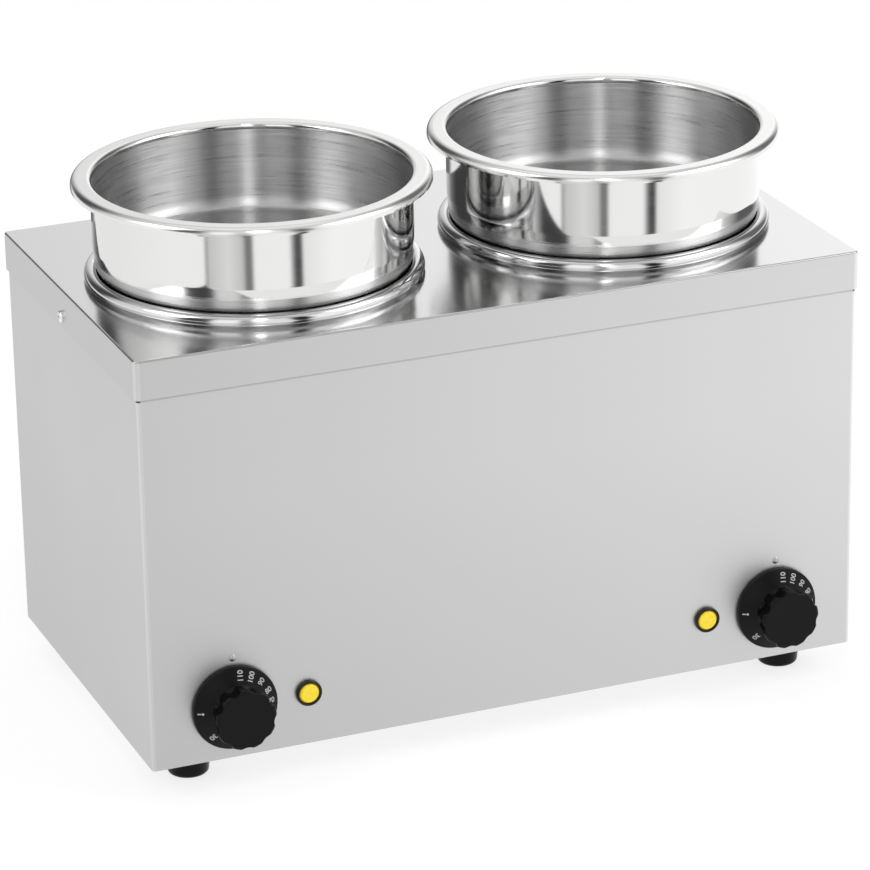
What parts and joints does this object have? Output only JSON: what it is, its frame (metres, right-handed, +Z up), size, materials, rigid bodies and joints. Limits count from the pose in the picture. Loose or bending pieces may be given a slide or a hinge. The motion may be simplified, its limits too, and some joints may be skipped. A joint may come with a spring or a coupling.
{
  "type": "bain marie",
  "caption": "Electric bain marie: a steel casing on rubber feet with round water wells, lift-out pots, thermostat knobs and pilot lamps, that keeps food hot in a water bath",
  "frame": {"origin": "bottom centre of the whole part: midway across its width, midway between the front of the knobs and the rear end of the cable gland, on the plane that the feet stand on", "axes": "+X across the front towards the right knob, +Y from the knobs towards the rear, +Z up"},
  "size_m": [0.5048, 0.3188, 0.3706],
  "materials": {
    "satin_steel": "satin stainless steel",
    "polished_steel": "mirror-polished stainless steel",
    "pot_steel": "stainless steel, bright outside, brushed inside",
    "black_plastic": "black moulded plastic, satin",
    "yellow_lens": "yellow see-through plastic",
    "rubber": "black rubber",
    "zinc_steel": "zinc-plated steel",
    "element_sheath": "heat-stained steel tube",
    "copper": "bare copper",
    "grey_plastic": "grey heat-proof plastic",
    "white_plastic": "off-white plastic",
    "lead_covering": "dark silicone rubber",
    "earth_covering": "green silicone rubber"
  },
  "bodies": {
    "casing": {"top_cover": "polished_steel", "body_shell": "satin_steel", "rear_panel": "satin_steel", "base_plate": "satin_steel", "thermostat_screws": "zinc_steel", "bulb_pockets": "satin_steel", "clamp_studs": "zinc_steel", "clamp_nuts": "zinc_steel", "pilot_lamp_nuts": "black_plastic", "foot_screws": "zinc_steel", "foot_nuts": "zinc_steel", "cover_side_screws": "zinc_steel", "cover_screw_nuts": "zinc_steel", "rear_panel_screws": "zinc_steel", "base_plate_screws": "zinc_steel", "cable_gland_body": "black_plastic", "cable_gland_nut": "black_plastic", "cable_gland_seal": "rubber", "cable_gland_locknut": "black_plastic", "terminal_block": "white_plastic", "terminal_block_screws": "zinc_steel", "earth_stud": "zinc_steel", "earth_nut": "zinc_steel", "earth_lead": "earth_covering", "front_left_foot": "rubber", "front_right_foot": "rubber", "rear_left_foot": "rubber", "rear_right_foot": "rubber", "left_well": "polished_steel", "left_thermostat": "grey_plastic", "left_bulb_and_capillary": "copper", "left_heating_element": "element_sheath", "left_element_clamp": "zinc_steel", "left_overheat_cutout": "grey_plastic", "left_pilot_bezel": "black_plastic", "left_pilot_lens": "yellow_lens", "left_wiring": "lead_covering", "right_well": "polished_steel", "right_thermostat": "grey_plastic", "right_bulb_and_capillary": "copper", "right_heating_element": "element_sheath", "right_element_clamp": "zinc_steel", "right_overheat_cutout": "grey_plastic", "right_pilot_bezel": "black_plastic", "right_pilot_lens": "yellow_lens", "right_wiring": "lead_covering"},
    "left_pot": {"left_pot": "pot_steel"},
    "right_pot": {"right_pot": "pot_steel"},
    "left_knob": {"left_knob": "black_plastic", "left_thermostat_shaft": "zinc_steel"},
    "right_knob": {"right_knob": "black_plastic", "right_thermostat_shaft": "zinc_steel"}
  },
  "joints": [
    {"name": "left_pot_lift", "type": "slide", "parent": "casing", "child": "left_pot", "axis": [0, 0, 1], "range_m": [0, 0.12]},
    {"name": "left_knob_turn", "type": "hinge", "parent": "casing", "child": "left_knob", "pos_m": [-0.1925, -0.13412, 0.058], "axis": [0, -1, 0], "range_deg": [0, 272]},
    {"name": "right_pot_lift", "type": "slide", "parent": "casing", "child": "right_pot", "axis": [0, 0, 1], "range_m": [0, 0.12]},
    {"name": "right_knob_turn", "type": "hinge", "parent": "casing", "child": "right_knob", "pos_m": [0.1925, -0.13412, 0.058], "axis": [0, -1, 0], "range_deg": [0, 272]}
  ]
}
